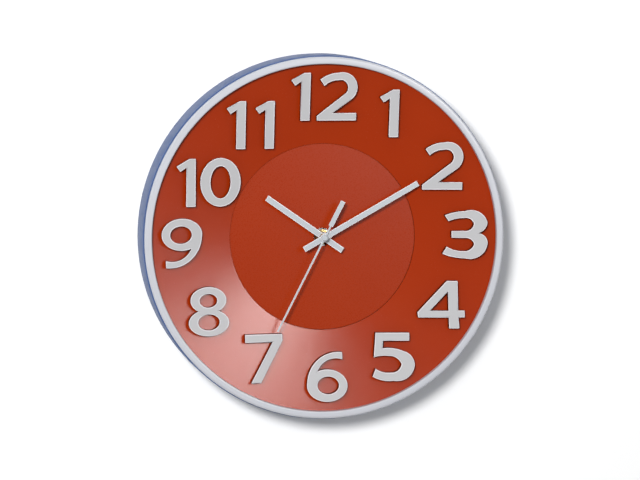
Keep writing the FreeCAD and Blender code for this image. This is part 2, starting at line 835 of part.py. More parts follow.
def make_motion_wheel():
    """Wheel and pinion that slow the minute arbor down to the hour wheel."""
    body = new_body("motion_wheel")
    arbor(body, "pivot_radius", "plate_base", "cover_level + cover_pivot_depth - pivot_end_gap")
    gear(body, MOTION_TEETH, "motion_module", "motion_level", "wheel_thick", MOTION_TURN)
    gear(body, MOTION_PINION_TEETH, "fine_module", "motion_level + wheel_thick",
         "motion_pinion_top - motion_level - wheel_thick", 0)
    keep(body, "motion_wheel", x=MOTION_SPOT.x, y=MOTION_SPOT.y)


def make_hour_wheel():
    """Hour wheel on the tube that carries the hour hand."""
    body = new_body("hour_wheel")
    turn = mesh_turn(MOTION_PINION_TEETH, 0, HOUR_TEETH, MOTION_DIRECTION + 180)
    arbor(body, "hour_tube_radius", "hour_level", "hour_tube_top - movement_back")
    gear(body, HOUR_TEETH, "fine_module", "hour_level", "wheel_thick", turn)
    drill(body, "minute_arbor_radius + running_clear", "movement_back", "hour_tube_top")
    keep(body, "hour_wheel")


def make_set_knob():
    """Grooved knob at the back, with a shaft and a pinion on the motion wheel."""
    body = new_body("set_knob")
    tube(body, "knob_radius", None, "movement_back - knob_thick - knob_gap", "knob_thick")
    arbor(body, "post_radius", "-knob_gap", "minute_pinion_level")
    turn = mesh_turn(MOTION_TEETH, MOTION_TURN, KNOB_TEETH, KNOB_DIRECTION)
    gear(body, KNOB_TEETH, "motion_module", "minute_pinion_level",
         "motion_level + wheel_thick + knob_gap - minute_pinion_level", turn)
    arbor(body, "pivot_radius", "motion_level", "cover_level + cover_pivot_depth - pivot_end_gap")
    grips = ring_spots(int(size("knob_grip_count")), "knob_radius")
    drill(body, "knob_grip_radius", "movement_back - knob_thick - knob_gap", "knob_thick", grips)
    keep(body, "set_knob", x=KNOB_SPOT.x, y=KNOB_SPOT.y)


# ---------------------------------------------------------------- movement box


def spot_formulas(*spots):
    """Points as the formulas that sketches take."""
    return [("%.4f" % spot.x, "%.4f" % spot.y) for spot in spots]


def rounded_box(body, base, height):
    """The movement's square outline with rounded corners, raised from a base height."""
    half = "movement_width / 2"
    block(body, "-" + half, half, "movement_bottom", "movement_top", base, height)
    round_edges(body, "movement_corner", lambda box: box.XLength + box.YLength)


def hollow(body, left, right, bottom, top, base, depth):
    """Cut a rectangular hollow towards the viewer from a base height."""
    sketch = new_sketch(body, lift=base)
    add_polygon(sketch, [(left, bottom), (right, bottom), (right, top), (left, top)])
    return pocket(body, sketch, depth)


def make_movement_housing():
    """Open box with the train's room, the battery bay that opens at the back, and pivots."""
    body = new_body("movement_housing")
    rounded_box(body, "movement_back", "cover_level")
    inner = "( movement_width / 2 - movement_wall )"
    room_base = "movement_back + movement_wall"
    room_depth = "cover_level - movement_wall"
    hollow(body, "-" + inner, inner, "bay_divider_y", "movement_top - movement_wall",
           room_base, room_depth)
    hollow(body, "-bay_width / 2", "bay_width / 2", "battery_y - battery_radius - battery_clear",
           "battery_y + battery_radius + battery_clear", "movement_back", "cover_level")
    for x, y in (("plate_post_left", "plate_post_top"), ("plate_post_left", "plate_post_low"),
                 ("plate_post_right", "plate_post_lowest")):
        sketch = new_sketch(body, lift=room_base)
        add_circle(sketch, "post_radius", x, y)
        pad(body, sketch, "plate_base - movement_wall")
    pivots = spot_formulas(CENTRE, THIRD_SPOT, STEP_SPOT, ROTOR_SPOT)
    drill(body, "pivot_radius + running_clear", "movement_back + pivot_base", "movement_wall",
          pivots)
    drill(body, "post_radius + running_clear", "movement_back", "movement_wall",
          spot_formulas(KNOB_SPOT))
    keep(body, "movement_housing")


def make_movement_front_cover():
    """Front plate that closes the box, with the bush's hole and two blind pivots."""
    body = new_body("movement_front_cover")
    rounded_box(body, "movement_back + cover_level", "movement_thick - cover_level")
    drill(body, "bush_radius", "movement_back + cover_level", "movement_thick - cover_level")
    drill(body, "pivot_radius + running_clear", "movement_back + cover_level",
          "cover_pivot_depth", spot_formulas(MOTION_SPOT, KNOB_SPOT))
    keep(body, "movement_front_cover")


def make_middle_plate():
    """Bearing plate between the seconds train and the motion work."""
    body = new_body("middle_plate")
    sketch = new_sketch(body, lift="movement_back + plate_base")
    add_polygon(sketch, [
        ("plate_left", "plate_bottom"), ("plate_right", "plate_bottom"),
        ("plate_right", "plate_notch_bottom"), ("plate_notch_left", "plate_notch_bottom"),
        ("plate_notch_left", "plate_top"), ("plate_left", "plate_top"),
    ])
    pad(body, sketch, "plate_thick")
    drill(body, "minute_arbor_radius + running_clear", "movement_back + plate_base",
          "plate_thick")
    drill(body, "pivot_radius + running_clear", "movement_back + plate_base", "plate_thick",
          spot_formulas(THIRD_SPOT, STEP_SPOT, ROTOR_SPOT, MOTION_SPOT))
    drill(body, "post_radius + running_clear", "movement_back + plate_base", "plate_thick",
          spot_formulas(KNOB_SPOT))
    keep(body, "middle_plate")


def make_motor():
    """Stator plate with its two arms, and the coil on its core between them."""
    body = new_body("stator")
    lift = "movement_back + stator_level"
    sketch = new_sketch(body, lift=lift)
    add_polygon(sketch, [
        ("stator_left", "stator_neck_bottom"), ("stator_neck_right", "stator_neck_bottom"),
        ("stator_neck_right", "stator_arm_bottom"), ("stator_right", "stator_arm_bottom"),
        ("stator_right", "stator_low_arm_top"), ("stator_inner_left", "stator_low_arm_top"),
        ("stator_inner_left", "stator_high_arm_bottom"), ("stator_right", "stator_high_arm_bottom"),
        ("stator_right", "stator_top"), ("stator_left", "stator_top"),
    ])
    pad(body, sketch, "stator_thick")
    drill(body, "stator_hole_radius", lift, "stator_thick", spot_formulas(ROTOR_SPOT))
    keep(body, "stator")
    core = new_body("coil_core")
    block(core, "-core_half_width", "core_half_width", "core_bottom", "core_top", "0",
          "stator_thick")
    keep(core, "coil_core", x=size("coil_x"), y=size("coil_y"),
         z=size("movement_back") + size("stator_level") + size("stator_thick"))
    half = "coil_length / 2"
    cheek = "( coil_length / 2 - bobbin_cheek )"
    middle = size("movement_back") + size("coil_level")
    bobbin = new_body("coil_bobbin")
    spin(bobbin, [
        ("0", "-" + half), ("bobbin_radius", "-" + half), ("bobbin_radius", "-" + cheek),
        ("bobbin_tube_radius", "-" + cheek), ("bobbin_tube_radius", cheek),
        ("bobbin_radius", cheek), ("bobbin_radius", half), ("0", half),
    ], "XY_Plane", "V_Axis")
    window = new_sketch(bobbin, lift="-stator_thick / 2")
    add_polygon(window, [
        ("-core_half_width", "core_bottom"), ("core_half_width", "core_bottom"),
        ("core_half_width", "core_top"), ("-core_half_width", "core_top"),
    ])
    pocket(bobbin, window, "stator_thick")
    keep(bobbin, "coil_bobbin", x=size("coil_x"), y=size("coil_y"), z=middle)
    winding = new_body("coil_winding")
    spin(winding, [
        ("bobbin_tube_radius", "-" + cheek), ("coil_radius", "-" + cheek),
        ("coil_radius", cheek), ("bobbin_tube_radius", cheek),
    ], "XY_Plane", "V_Axis")
    keep(winding, "coil_winding", x=size("coil_x"), y=size("coil_y"), z=middle)


def make_electronics():
    """Circuit board with its chip and the tuning-fork crystal's can."""
    level = "movement_back + board_level"
    board = new_body("circuit_board")
    block(board, "board_left", "board_right", "board_bottom", "board_top", level, "board_thick")
    keep(board, "circuit_board")
    chip = new_body("chip")
    block(chip, "chip_left", "chip_right", "chip_bottom", "chip_top", level + " + board_thick",
          "chip_thick")
    keep(chip, "chip")
    crystal = new_body("crystal")
    spin(crystal, [
        ("0", "0"), ("crystal_radius", "0"), ("crystal_radius", "crystal_length"),
        ("0", "crystal_length"),
    ], "XY_Plane", "V_Axis")
    keep(crystal, "crystal", x=size("crystal_x"), y=size("crystal_y"),
         z=number(level + " + board_thick + crystal_radius"))


def make_battery():
    """AA cell lying across the bay, its raised terminal, and the two spring contacts."""
    where = {"y": size("battery_y"), "z": size("movement_back") + size("battery_level")}
    battery_end = "battery_length + battery_base_x"
    cell = new_body("battery")
    spin(cell, [
        ("battery_base_x", "0"), (battery_end, "0"), (battery_end, "battery_radius"),
        ("battery_base_x", "battery_radius"),
    ], "XY_Plane", "H_Axis")
    keep(cell, "battery", **where)
    tip = new_body("battery_terminal")
    spin(tip, [
        (battery_end, "0"), (battery_end + " + battery_tip_length", "0"),
        (battery_end + " + battery_tip_length", "battery_tip_radius"),
        (battery_end, "battery_tip_radius"),
    ], "XY_Plane", "H_Axis")
    keep(tip, "battery_terminal", **where)
    plus = new_body("contact_positive")
    block(plus, "contact_face", "contact_back", "-contact_plus_half", "contact_plus_half",
          "-contact_plus_half", "contact_plus_height")
    keep(plus, "contact_positive", **where)
    minus = new_body("contact_negative")
    sketch = new_sketch(minus, lift="-contact_width / 2")
    add_polygon(sketch, [
        ("-contact_back", "-contact_minus_half"), ("-contact_face", "-contact_minus_half"),
        ("-contact_face", "-contact_bend"), ("battery_base_x", "-contact_tip_half"),
        ("battery_base_x", "contact_tip_half"), ("-contact_face", "contact_bend"),
        ("-contact_face", "contact_minus_half"), ("-contact_back", "contact_minus_half"),
        ("-contact_back", "contact_bend_back"), ("contact_tip_back", "0"),
        ("-contact_back", "-contact_bend_back"),
    ])
    pad(minus, sketch, "contact_width")
    keep(minus, "contact_negative", **where)


# ---------------------------------------------------------------- bush and hands


def make_bush():
    """Threaded bush with its flange inside the movement, the washers and the round nut."""
    turned_piece("bush", [
        ("hour_tube_radius + running_clear", "movement_back + cover_level - bush_flange_thick"),
        ("bush_flange_radius", "movement_back + cover_level - bush_flange_thick"),
        ("bush_flange_radius", "movement_back + cover_level"),
        ("bush_radius", "movement_back + cover_level"),
        ("bush_radius", "bush_top"),
        ("hour_tube_radius + running_clear", "bush_top"),
    ])
    for label, radius, base, thick in (
        ("rubber_washer", "rubber_radius", "movement_back + movement_thick",
         "disc_back - movement_back - movement_thick"),
        ("bush_washer", "washer_radius", "disc_back + disc_thick", "washer_thick"),
        ("bush_nut", "nut_radius", "disc_back + disc_thick + washer_thick", "nut_thick"),
    ):
        body = new_body(label)
        tube(body, radius, "bush_radius", base, thick)
        keep(body, label)


def make_hand(label, tube_radius, angle):
    """A flat square-ended hand pressed on its brass collet, pointing at a clock angle."""
    half = label + "_width / 2"
    level = label + "_height"
    collet_radius = tube_radius + " + collet_wall"
    plate = new_body(label)
    block(plate, "-" + half, half, "-%s_tail" % label, label + "_length", level, "hand_thick")
    tube(plate, collet_radius + " + collet_rim", None, level, "hand_thick")
    drill(plate, collet_radius, level, "hand_thick")
    keep(plate, label, turn=-angle)
    collet = new_body(label + "_collet")
    tube(collet, collet_radius, tube_radius, level + " - collet_below", "collet_length")
    keep(collet, label + "_collet")


def make_second_hand():
    """Thin hand with a broad counterweight, its tube and the domed cap over the hub."""
    level = "second_hand_height"
    tube_outer = "second_arbor_radius + second_tube_wall"
    half = "second_hand_width / 2"
    broad = "weight_width / 2"
    hand = new_body("second_hand")
    outline = new_sketch(hand, lift=level)
    add_polygon(outline, [
        ("-" + half, "second_hand_length"), ("-" + half, "-weight_start"),
        ("-" + broad, "-weight_start"), ("-" + broad, "-weight_end"), (broad, "-weight_end"),
        (broad, "-weight_start"), (half, "-weight_start"), (half, "second_hand_length"),
    ])
    pad(hand, outline, "hand_thick")
    tube(hand, "cap_radius", None, level, "hand_thick")
    drill(hand, tube_outer, level, "hand_thick")
    keep(hand, "second_hand", turn=-SECOND_HAND_ANGLE)
    sleeve = new_body("second_hand_tube")
    tube(sleeve, tube_outer, "second_arbor_radius", level + " - second_tube_below",
         "second_tube_length")
    keep(sleeve, "second_hand_tube")
    cap_base = level + " + hand_thick"
    turned_piece("second_hand_cap", [
        (tube_outer, cap_base), ("cap_radius", cap_base),
        ("cap_radius", cap_base + " + cap_shoulder"),
        ("cap_crown_radius", cap_base + " + cap_thick"), ("0", cap_base + " + cap_thick"),
        ("0", cap_base + " + cap_hollow"), (tube_outer, cap_base + " + cap_hollow"),
    ])


# ---------------------------------------------------------------- document


def check_document():
    """Stop if any object failed, if a pocket cut nothing, or if a node has no valid solid."""
    for thing in DOC.Objects:
        bad = {"Invalid", "Error"} & set(thing.State)
        if bad:
            raise RuntimeError("%s is %s" % (thing.Label, bad))
        if thing.TypeId == "PartDesign::Pocket":
            removed = thing.BaseFeature.Shape.Volume - thing.Shape.Volume
            if removed < POCKET_SLACK:
                raise RuntimeError("%s cut nothing" % thing.Label)
    for node in NODES:
        if node.Shape.isNull() or not node.Shape.isValid() or not node.Shape.Solids:
            raise RuntimeError("%s has no valid solid" % node.Label)


def write_nodes():
    """Write each node's shape to its own STEP file."""
    os.makedirs("parts", exist_ok=True)
    for node in NODES:
        node.Shape.exportStep("parts/%s.step" % node.Label)


def main():
    fill_sheet()
    make_case()
    make_front_ring()
    make_ring_screws()
    make_dial()
    make_dial_disc()
    make_movement_housing()
    make_movement_front_cover()
    make_middle_plate()
    make_motor()
    make_electronics()
    make_battery()
    make_rotor()
    make_step_wheel()
    make_seconds_wheel()
    make_third_wheel()
    make_minute_wheel()
    make_minute_arbor()
    make_motion_wheel()
    make_hour_wheel()
    make_set_knob()
    make_bush()
    make_hand("hour_hand", "hour_tube_radius", HOUR_HAND_ANGLE)
    make_hand("minute_hand", "minute_arbor_radius", MINUTE_HAND_ANGLE)
    make_second_hand()
    DOC.recompute()
    check_document()
    write_nodes()


main()
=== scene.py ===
"""Wall clock: the looks of a round quartz clock with a red dish dial, silver numerals and a blue case.

All lengths are in metres. The clock hangs on the wall plane y = 0 and faces -y, with z up.
"""

import logging
import math
from dataclasses import dataclass
from enum import Enum

import bpy
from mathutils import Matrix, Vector


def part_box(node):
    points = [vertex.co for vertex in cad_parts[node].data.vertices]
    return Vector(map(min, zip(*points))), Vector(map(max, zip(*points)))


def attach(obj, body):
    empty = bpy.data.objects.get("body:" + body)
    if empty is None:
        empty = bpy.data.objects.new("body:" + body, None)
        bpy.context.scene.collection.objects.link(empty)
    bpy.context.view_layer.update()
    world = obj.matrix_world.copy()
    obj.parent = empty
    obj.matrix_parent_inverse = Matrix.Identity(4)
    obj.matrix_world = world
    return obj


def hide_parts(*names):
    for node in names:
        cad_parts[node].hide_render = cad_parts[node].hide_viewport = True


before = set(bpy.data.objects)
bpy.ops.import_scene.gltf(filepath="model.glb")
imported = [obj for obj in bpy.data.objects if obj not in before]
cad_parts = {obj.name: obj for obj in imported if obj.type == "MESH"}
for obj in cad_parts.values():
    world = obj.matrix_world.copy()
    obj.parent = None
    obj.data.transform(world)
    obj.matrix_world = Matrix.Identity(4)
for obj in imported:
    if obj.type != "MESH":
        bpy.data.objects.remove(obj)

LOG = logging.getLogger("wall_clock")
MM = 0.001

# Shares of a face's slant towards the front (1 for a face that looks straight out of the dial).
FRONT_FACING = 0.9
SHOWN_FACING = 0.25
FLAT_FACING = 0.99
# Angle in degrees under which two faces count as one flat face.
FLAT_ANGLE = 1
# Texture settings: a wave node's scale counts this many grains, and brushed grain is drawn out along x.
WAVE_GRAINS = 6
WAVE_WOBBLE = 0.6
WAVE_DETAIL = 2
NOISE_DETAIL = 3
CLOUD_DETAIL = 4
BRUSHED_STRETCH = (0.04, 1, 1)
LEAST_ROUGHNESS = 0.02

Colour = tuple[float, float, float]
Corner = tuple[float, float]


class Grain(Enum):
    """How a finish is textured."""

    MOULDED = "fine even grain left by a mould"
    BRUSHED = "straight fine scratches"
    TURNED = "rings left by a lathe, around the hub"
    WOUND = "turns of wire around a bobbin"


def clock_centre() -> Vector:
    """Give the point on the hands' axis in the wall plane."""
    low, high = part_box("case")
    return Vector(((low.x + high.x) / 2, high.y, (low.z + high.z) / 2))


def hub_axis() -> Vector:
    """Give the hands' axis: the middle of the brass nut."""
    low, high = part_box("bush_nut")
    return (low + high) / 2


@dataclass(frozen=True)
class Finish:
    """A surface finish: its colour, gloss and texture.

    Attributes:
        name: Start of the material's name.
        colour: Main colour, linear.
        shade: Second colour that the first drifts towards in soft patches.
        roughness: Middle roughness.
        swing: How far the roughness drifts either way.
        metallic: 1 for bare metal.
        grain: Kind of texture.
        grain_pitch: Size of the texture's grain.
        grain_depth: Height of the grain.
        patch: Size of the soft patches.
        coat: Weight of a clear lacquer.
        specular: Strength of the surface's own reflection, 0.5 for common plastic.
    """

    name: str
    colour: Colour
    shade: Colour
    roughness: float
    swing: float = 0.05
    metallic: float = 0.0
    grain: Grain = Grain.MOULDED
    grain_pitch: float = 0.4 * MM
    grain_depth: float = 0.02 * MM
    patch: float = 30 * MM
    coat: float = 0.0
    specular: float = 0.5

    def material(self) -> bpy.types.Material:
        """Build the finish once, or give the one already built.

        Returns:
            The finish's material.
        """
        title = f"{self.name}_finish"
        made = bpy.data.materials.get(title)
        if made is not None:
            return made
        made = bpy.data.materials.new(title)
        made.use_nodes = True
        tree = made.node_tree
        shader = tree.nodes["Principled BSDF"]
        shader.inputs["Metallic"].default_value = self.metallic
        shader.inputs["Specular IOR Level"].default_value = self.specular
        shader.inputs["Coat Weight"].default_value = self.coat
        shader.inputs["Coat Roughness"].default_value = self.roughness / 2
        place = tree.nodes.new("ShaderNodeTexCoord").outputs["Object"]
        self._colour(tree, place, shader)
        self._texture(tree, place, shader)
        return made

    def _colour(self, tree: bpy.types.NodeTree, place: bpy.types.NodeSocket, shader: bpy.types.Node) -> None:
        """Let the colour drift between its two tones in soft patches."""
        cloud = tree.nodes.new("ShaderNodeTexNoise")
        cloud.inputs["Scale"].default_value = 1 / self.patch
        cloud.inputs["Detail"].default_value = CLOUD_DETAIL
        tree.links.new(place, cloud.inputs["Vector"])
        mix = tree.nodes.new("ShaderNodeMix")
        mix.data_type = "RGBA"
        mix.inputs[6].default_value = (*self.colour, 1)
        mix.inputs[7].default_value = (*self.shade, 1)
        tree.links.new(cloud.outputs["Fac"], mix.inputs[0])
        tree.links.new(mix.outputs[2], shader.inputs["Base Color"])

    def _texture(self, tree: bpy.types.NodeTree, place: bpy.types.NodeSocket, shader: bpy.types.Node) -> None:
        """Drive the roughness and the fine relief from the grain."""
        height = self._grain_height(tree, place)
        gloss = tree.nodes.new("ShaderNodeMapRange")
        gloss.inputs["To Min"].default_value = max(self.roughness - self.swing, LEAST_ROUGHNESS)
        gloss.inputs["To Max"].default_value = min(self.roughness + self.swing, 1)
        tree.links.new(height, gloss.inputs["Value"])
        tree.links.new(gloss.outputs["Result"], shader.inputs["Roughness"])
        relief = tree.nodes.new("ShaderNodeBump")
        relief.inputs["Strength"].default_value = 1
        relief.inputs["Distance"].default_value = self.grain_depth
        tree.links.new(height, relief.inputs["Height"])
        tree.links.new(relief.outputs["Normal"], shader.inputs["Normal"])

    def _grain_height(self, tree: bpy.types.NodeTree, place: bpy.types.NodeSocket) -> bpy.types.NodeSocket:
        """Build the grain's height.

        Returns:
            The socket that carries the height, from 0 to 1.
        """
        spot = tree.nodes.new("ShaderNodeMapping")
        spot.vector_type = "POINT"
        tree.links.new(place, spot.inputs["Vector"])
        if self.grain in (Grain.TURNED, Grain.WOUND):
            rings = tree.nodes.new("ShaderNodeTexWave")
            rings.wave_type = "RINGS" if self.grain is Grain.TURNED else "BANDS"
            rings.rings_direction = "Y"
            rings.bands_direction = "Z"
            rings.inputs["Scale"].default_value = 1 / (self.grain_pitch * WAVE_GRAINS)
            rings.inputs["Distortion"].default_value = WAVE_WOBBLE
            rings.inputs["Detail"].default_value = WAVE_DETAIL
            spot.inputs["Location"].default_value = -hub_axis()
            tree.links.new(spot.outputs["Vector"], rings.inputs["Vector"])
            return rings.outputs["Fac"]
        noise = tree.nodes.new("ShaderNodeTexNoise")
        noise.inputs["Scale"].default_value = 1 / self.grain_pitch
        noise.inputs["Detail"].default_value = NOISE_DETAIL
        if self.grain is Grain.BRUSHED:
            spot.inputs["Scale"].default_value = BRUSHED_STRETCH
        tree.links.new(spot.outputs["Vector"], noise.inputs["Vector"])
        return noise.outputs["Fac"]


CASE_BLUE = Finish("case_blue", (0.066, 0.114, 0.262), (0.054, 0.095, 0.222), 0.5, 0.06,
                   grain_pitch=0.5 * MM, grain_depth=0.012 * MM, patch=60 * MM, specular=0.3)
RING_SILVER = Finish("ring_silver", (0.50, 0.51, 0.55), (0.46, 0.47, 0.51), 0.34, 0.05,
                     grain_pitch=0.3 * MM, grain_depth=0.006 * MM, patch=40 * MM, coat=0.1)
DIAL_RED = Finish("dial_red", (0.325, 0.028, 0.002), (0.305, 0.023, 0.0015), 0.25, 0.06,
                  grain_pitch=0.8 * MM, grain_depth=0.05 * MM, patch=50 * MM, specular=0.36)
DISC_RED = Finish("disc_red", (0.325, 0.028, 0.002), (0.305, 0.024, 0.0015), 0.28, 0.06,
                  grain_pitch=0.7 * MM, grain_depth=0.022 * MM, patch=50 * MM, specular=0.25)
NUMERAL_SILVER = Finish("numeral_silver", (0.45, 0.45, 0.46), (0.42, 0.42, 0.43), 0.52, 0.05,
                        grain_pitch=0.25 * MM, grain_depth=0.006 * MM, patch=20 * MM, specular=0.12)
# Painted shade: a dark red laid on the steep sides of the numerals' bosses and plates, standing in for the
# shade on those walls, which are the dial's own red.
NUMERAL_WALL_SHADE = Finish("numeral_wall", (0.105, 0.011, 0.0012), (0.090, 0.009, 0.001), 0.5, 0.06,
                      grain_pitch=0.8 * MM, grain_depth=0.01 * MM, patch=20 * MM, specular=0.1)
# Painted highlight: a lighter grey on the plates' rims, standing in for the light caught along their edges.
NUMERAL_EDGE_HIGHLIGHT = Finish("numeral_edge", (0.66, 0.63, 0.65), (0.61, 0.58, 0.60), 0.48, 0.05,
                      grain_pitch=0.25 * MM, grain_depth=0.004 * MM, patch=20 * MM, specular=0.15)
# Painted highlight: a lighter grey on the hands' rims and sides, standing in for the light caught along their
# edges. HAND_GREY below is the hands' own grey.
HAND_EDGE_HIGHLIGHT = Finish("hand_edge_highlight", (0.70, 0.71, 0.73), (0.65, 0.66, 0.69), 0.30, 0.05,
                   grain_pitch=0.2 * MM, grain_depth=0.004 * MM, patch=15 * MM)
HAND_GREY = Finish("hand_grey", (0.44, 0.47, 0.50), (0.41, 0.44, 0.47), 0.35, 0.05,
                   grain_pitch=0.2 * MM, grain_depth=0.004 * MM, patch=15 * MM)
BRASS = Finish("brass", (0.78, 0.57, 0.26), (0.66, 0.45, 0.18), 0.28, 0.08, metallic=1,
               grain=Grain.TURNED, grain_pitch=0.12 * MM, grain_depth=0.01 * MM, patch=4 * MM)
STEEL = Finish("steel", (0.62, 0.62, 0.62), (0.52, 0.52, 0.53), 0.32, 0.08, metallic=1,
               grain=Grain.BRUSHED, grain_pitch=0.08 * MM, grain_depth=0.005 * MM, patch=4 * MM)
MOVEMENT_BLACK = Finish("movement_black", (0.030, 0.030, 0.034), (0.022, 0.022, 0.026), 0.55, 0.08,
                        grain_pitch=0.35 * MM, grain_depth=0.03 * MM, patch=12 * MM)
WHEEL_WHITE = Finish("wheel_white", (0.82, 0.81, 0.76), (0.76, 0.75, 0.69), 0.45, 0.05,
                     grain_pitch=0.2 * MM, grain_depth=0.01 * MM, patch=4 * MM)
RUBBER = Finish("rubber_black", (0.022, 0.022, 0.022), (0.034, 0.033, 0.032), 0.8, 0.08,
                grain_pitch=0.2 * MM, grain_depth=0.03 * MM, patch=5 * MM)
MAGNET = Finish("magnet_grey", (0.12, 0.12, 0.13), (0.09, 0.09, 0.10), 0.5, 0.1, metallic=0.6,
                grain_pitch=0.15 * MM, grain_depth=0.02 * MM, patch=2 * MM)
COPPER = Finish("enamelled_copper", (0.72, 0.30, 0.12), (0.58, 0.21, 0.08), 0.3, 0.06, metallic=1,
                grain=Grain.WOUND, grain_pitch=0.1 * MM, grain_depth=0.04 * MM, patch=3 * MM, coat=0.6)
BOARD_GREEN = Finish("board_green", (0.03, 0.20, 0.08), (0.02, 0.14, 0.05), 0.4, 0.05,
                     grain_pitch=0.5 * MM, grain_depth=0.02 * MM, patch=3 * MM, coat=0.5)
RESIN = Finish("chip_resin", (0.012, 0.012, 0.012), (0.02, 0.02, 0.02), 0.35, 0.06,
               grain_pitch=0.6 * MM, grain_depth=0.05 * MM, patch=2 * MM, coat=0.4)
CELL_WRAP = Finish("cell_wrap", (0.06, 0.09, 0.16), (0.05, 0.075, 0.13), 0.25, 0.04,
                   grain_pitch=0.6 * MM, grain_depth=0.01 * MM, patch=8 * MM, coat=0.5)
CELL_BAND = Finish("cell_band", (0.62, 0.40, 0.14), (0.54, 0.34, 0.11), 0.22, 0.04, metallic=0.8,
                   grain=Grain.BRUSHED, grain_pitch=0.1 * MM, grain_depth=0.004 * MM, patch=8 * MM, coat=0.5)

NUMERALS = tuple(f"numeral_{hour}" for hour in range(1, 13))

NODE_FINISHES: dict[Finish, tuple[str, ...]] = {
    CASE_BLUE: ("case",),
    RING_SILVER: ("front_ring",),
    DIAL_RED: ("dial",),
    DISC_RED: ("dial_disc",),
    NUMERAL_SILVER: NUMERALS,
    HAND_GREY: ("hour_hand", "minute_hand", "second_hand", "second_hand_cap"),
    BRASS: ("bush", "bush_nut", "hour_hand_collet", "minute_hand_collet", "second_hand_tube"),
    STEEL: ("bush_washer", "ring_screws", "seconds_arbor", "stator", "coil_core", "crystal",
            "contact_positive", "contact_negative", "battery_terminal"),
    MOVEMENT_BLACK: ("movement_housing", "movement_front_cover", "middle_plate"),
    WHEEL_WHITE: ("hour_wheel", "minute_arbor", "minute_wheel", "motion_wheel", "rotor_pinion",
                  "seconds_wheel", "step_wheel", "third_wheel", "set_knob", "coil_bobbin"),
    RUBBER: ("rubber_washer",),
    MAGNET: ("rotor_magnet",),
    COPPER: ("coil_winding",),
    BOARD_GREEN: ("circuit_board",),
    RESIN: ("chip",),
    CELL_WRAP: ("battery",),
}


def only(piece: bpy.types.Object) -> None:
    """Select this piece alone and make it the active one."""
    bpy.ops.object.select_all(action="DESELECT")
    piece.select_set(True)
    bpy.context.view_layer.objects.active = piece


def dress(piece: bpy.types.Object, finish: Finish) -> None:
    """Give a piece one finish all over."""
    piece.data.materials.clear()
    piece.data.materials.append(finish.material())


def settle(piece: bpy.types.Object) -> None:
    """Move a piece's place, turn and size into its mesh."""
    only(piece)
    bpy.ops.object.transform_apply(location=True, rotation=True, scale=True)


def merge(piece: bpy.types.Object, reach: float = 0.001 * MM) -> None:
    """Join a piece's doubled points and turn its faces outwards."""
    only(piece)
    bpy.ops.object.mode_set(mode="EDIT")
    bpy.ops.mesh.select_all(action="SELECT")
    bpy.ops.mesh.remove_doubles(threshold=reach)
    bpy.ops.mesh.normals_make_consistent(inside=False)
    bpy.ops.object.mode_set(mode="OBJECT")


def soften(piece: bpy.types.Object, width: float, steps: int = 2, angle: float = 35) -> None:
    """Round a piece's sharp edges and shade its smooth ones.

    Args:
        piece: The piece.
        width: Width of the rounding.
        steps: Faces across the rounding.
        angle: Least angle in degrees at an edge that is rounded.
    """
    only(piece)
    rounding = piece.modifiers.new("rounding", "BEVEL")
    rounding.width = width
    rounding.segments = steps
    rounding.limit_method = "ANGLE"
    rounding.angle_limit = math.radians(angle)
    rounding.use_clamp_overlap = True
    bpy.ops.object.modifier_apply(modifier=rounding.name)
    bpy.ops.object.shade_smooth_by_angle(angle=math.radians(angle))


def clean(piece: bpy.types.Object) -> None:
    """Merge a piece's doubled points and drop the lines across its flat faces."""
    merge(piece)
    only(piece)
    bpy.ops.object.mode_set(mode="EDIT")
    bpy.ops.mesh.select_all(action="SELECT")
    bpy.ops.mesh.dissolve_limited(angle_limit=math.radians(FLAT_ANGLE))
    bpy.ops.object.mode_set(mode="OBJECT")


def rim(
    piece: bpy.types.Object, width: float, step: float, middle: Finish, edge: Finish, side: Finish,
) -> None:
    """Give a plate a fine rim round its front, with the middle a little lower; the rim takes a painted
    highlight finish.

    Args:
        piece: The plate, whose front faces -y.
        width: Width of the rim.
        step: How far the middle lies below the rim.
        middle: Finish inside the rim.
        edge: Finish of the rim, a painted highlight: lighter than the middle, standing in for the light
            caught by the rim.
        side: Finish of the sides and back: painted shade on the numerals, and the same painted highlight as
            the rim on the hands.
    """
    piece.data.materials.clear()
    for finish in (side, edge, middle):
        piece.data.materials.append(finish.material())
    front = Vector((0, -1, 0))
    # Faces that look out of the front take the rim's painted highlight. The rest take the sides' finish:
    # painted shade on the numerals, painted highlight on the hands.
    for face in piece.data.polygons:
        face.select = face.normal.dot(front) > FRONT_FACING
        face.material_index = int(face.normal.dot(front) > SHOWN_FACING)
        face.use_smooth = False
    only(piece)
    bpy.ops.object.mode_set(mode="EDIT")
    bpy.ops.mesh.select_mode(type="FACE")
    bpy.ops.mesh.inset(thickness=width, depth=-step, use_even_offset=False)
    bpy.ops.object.mode_set(mode="OBJECT")
    for face in piece.data.polygons:
        if face.select:
            face.material_index = 2


def unite(piece: bpy.types.Object, other: bpy.types.Object) -> None:
    """Join another solid to a piece, and remove the other."""
    only(piece)
    joining = piece.modifiers.new("joining", "BOOLEAN")
    joining.operation = "UNION"
    joining.solver = "EXACT"
    joining.object = other
    bpy.ops.object.modifier_apply(modifier=joining.name)
    bpy.data.objects.remove(other)


def cut(piece: bpy.types.Object, tool: bpy.types.Object) -> None:
    """Cut a tool's shape out of a piece, and remove the tool."""
    only(piece)
    cutting = piece.modifiers.new("cutting", "BOOLEAN")
    cutting.operation = "DIFFERENCE"
    cutting.solver = "EXACT"
    cutting.object = tool
    bpy.ops.object.modifier_apply(modifier=cutting.name)
    bpy.data.objects.remove(tool)


